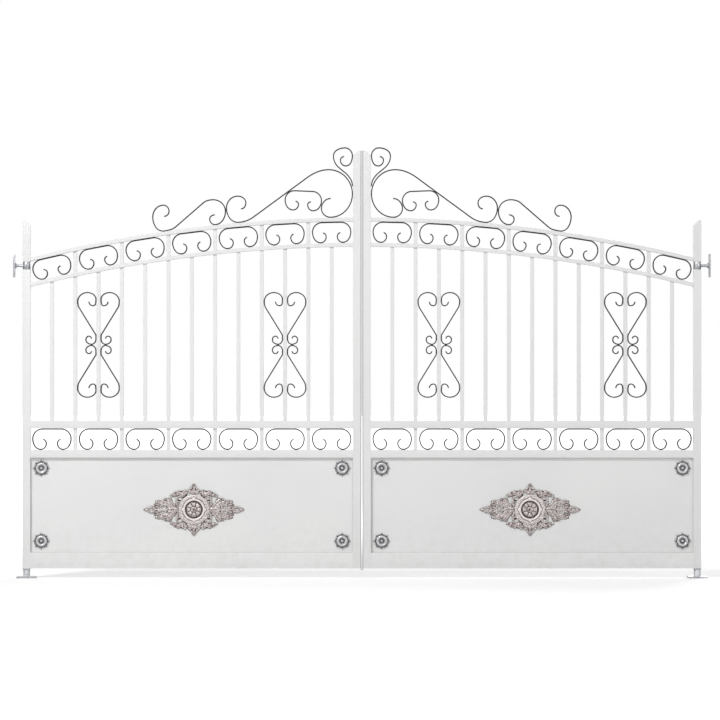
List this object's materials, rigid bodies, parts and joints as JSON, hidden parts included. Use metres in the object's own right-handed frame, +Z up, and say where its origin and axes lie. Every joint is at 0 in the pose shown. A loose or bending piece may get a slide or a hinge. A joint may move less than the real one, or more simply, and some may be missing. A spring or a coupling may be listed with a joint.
{
  "type": "aluminium double swing gate",
  "caption": "Double driveway swing gate with an arched top, square bars, flat-bar scrolls, a solid lower panel with cast ornaments, and pivot hinges.",
  "frame": {"origin": "on the ground under the left floor pivot's plate, on the left hinge axis", "axes": "+X along the closed gate to the right leaf, -Y the outside (front), +Y the inside, +Z up"},
  "size_m": [3.596, 0.1, 2.2215],
  "materials": {
    "white_coat": "satin white powder coat",
    "black_coat": "fine textured black powder coat",
    "hinge_steel": "galvanised",
    "cast_grey": "raw cast",
    "antique_cast": "antiqued cast",
    "rubber": "matt black"
  },
  "bodies": {
    "fixings": {"left_floor_pivot": "hinge_steel", "left_collar": "hinge_steel", "left_wall_plate": "hinge_steel", "right_floor_pivot": "hinge_steel", "right_collar": "hinge_steel", "right_wall_plate": "hinge_steel"},
    "left_leaf": {"left_hinge_stile": "white_coat", "left_hinge_journal": "hinge_steel", "left_foot_plug": "hinge_steel", "left_meeting_stile": "white_coat", "left_upper_arch_rail": "white_coat", "left_lower_arch_rail": "white_coat", "left_mid_rail": "white_coat", "left_panel_rail": "white_coat", "left_bottom_rail": "white_coat", "left_long_bars": "white_coat", "left_short_bars": "white_coat", "left_arch_scrolls": "black_coat", "left_frieze_scrolls": "black_coat", "left_heart_scrolls": "black_coat", "left_crown_scrolls": "black_coat", "left_panel": "white_coat", "left_rosettes": "cast_grey", "left_panel_ornament": "antique_cast", "left_buffer_strip": "rubber"},
    "right_leaf": {"right_hinge_stile": "white_coat", "right_hinge_journal": "hinge_steel", "right_foot_plug": "hinge_steel", "right_meeting_stile": "white_coat", "right_upper_arch_rail": "white_coat", "right_lower_arch_rail": "white_coat", "right_mid_rail": "white_coat", "right_panel_rail": "white_coat", "right_bottom_rail": "white_coat", "right_long_bars": "white_coat", "right_short_bars": "white_coat", "right_arch_scrolls": "black_coat", "right_frieze_scrolls": "black_coat", "right_heart_scrolls": "black_coat", "right_crown_scrolls": "black_coat", "right_panel": "white_coat", "right_rosettes": "cast_grey", "right_panel_ornament": "antique_cast", "right_buffer_strip": "rubber"}
  },
  "joints": [
    {"name": "left_leaf_swing", "type": "hinge", "parent": "fixings", "child": "left_leaf", "pos_m": [0, 0, 0.05], "axis": [0, 0, 1], "range_deg": [0, 90]},
    {"name": "right_leaf_swing", "type": "hinge", "parent": "fixings", "child": "right_leaf", "pos_m": [3.46, 0, 0.05], "axis": [0, 0, -1], "range_deg": [0, 90]}
  ]
}
